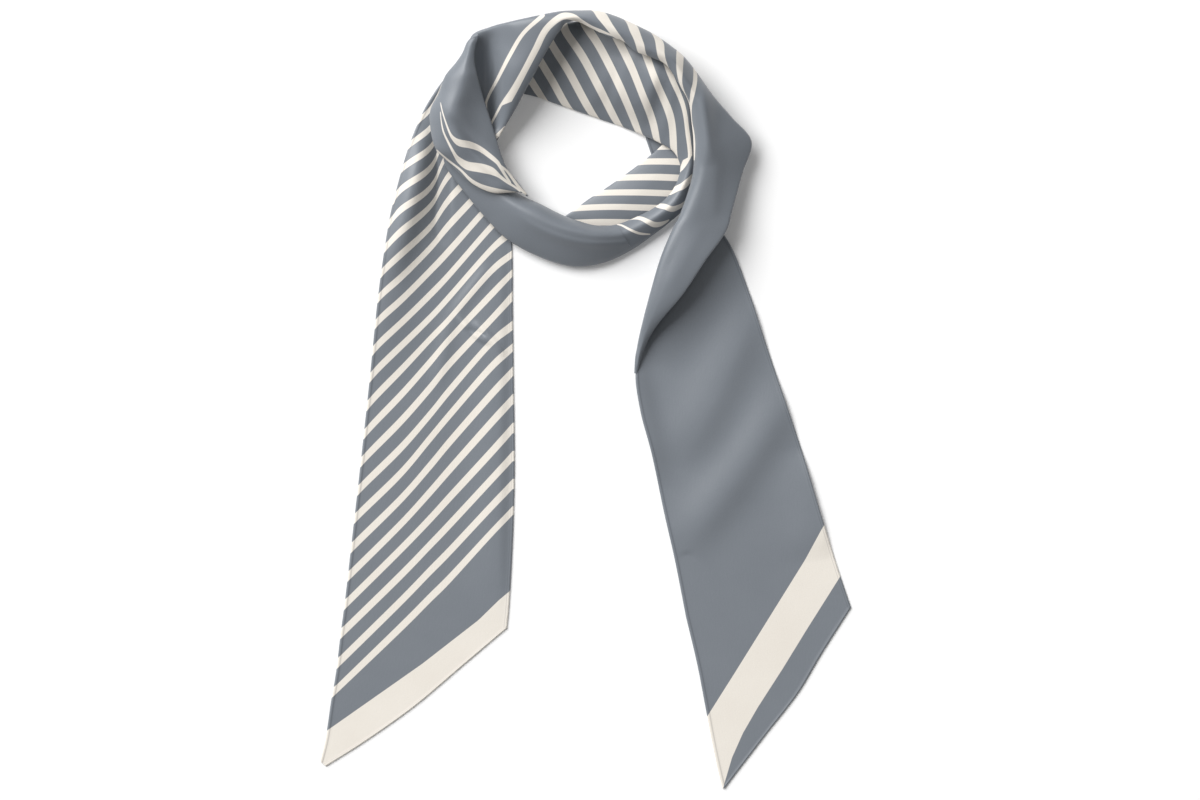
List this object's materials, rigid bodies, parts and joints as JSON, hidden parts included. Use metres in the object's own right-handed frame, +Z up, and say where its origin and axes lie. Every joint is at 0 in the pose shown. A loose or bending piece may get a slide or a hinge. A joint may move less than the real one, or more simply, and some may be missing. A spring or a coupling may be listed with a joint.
{
  "type": "skinny silk scarf",
  "caption": "Long narrow striped silk scarf wound into a neck loop and laid flat, with two slanted ends.",
  "frame": {"origin": "on the surface it lies on, below the centre of its box", "axes": "+Y along the scarf's length, from its two ends to the neck loop; +Z up, out of the surface; +X to the right as seen from above"},
  "size_m": [0.354, 0.5182, 0.0412],
  "materials": {
    "striped_silk": "satin silk, slate grey with diagonal cream stripes",
    "plain_silk": "satin silk, plain slate grey"
  },
  "bodies": {
    "root": {"tail_striped": "striped_silk", "collar_back": "striped_silk", "collar_twist": "striped_silk", "collar_inner": "striped_silk", "collar_flap": "striped_silk", "collar_outer": "striped_silk", "collar_left": "striped_silk", "collar_front": "plain_silk", "shoulder_right": "plain_silk", "tail_plain": "plain_silk", "collar_under": "plain_silk"}
  },
  "joints": []
}
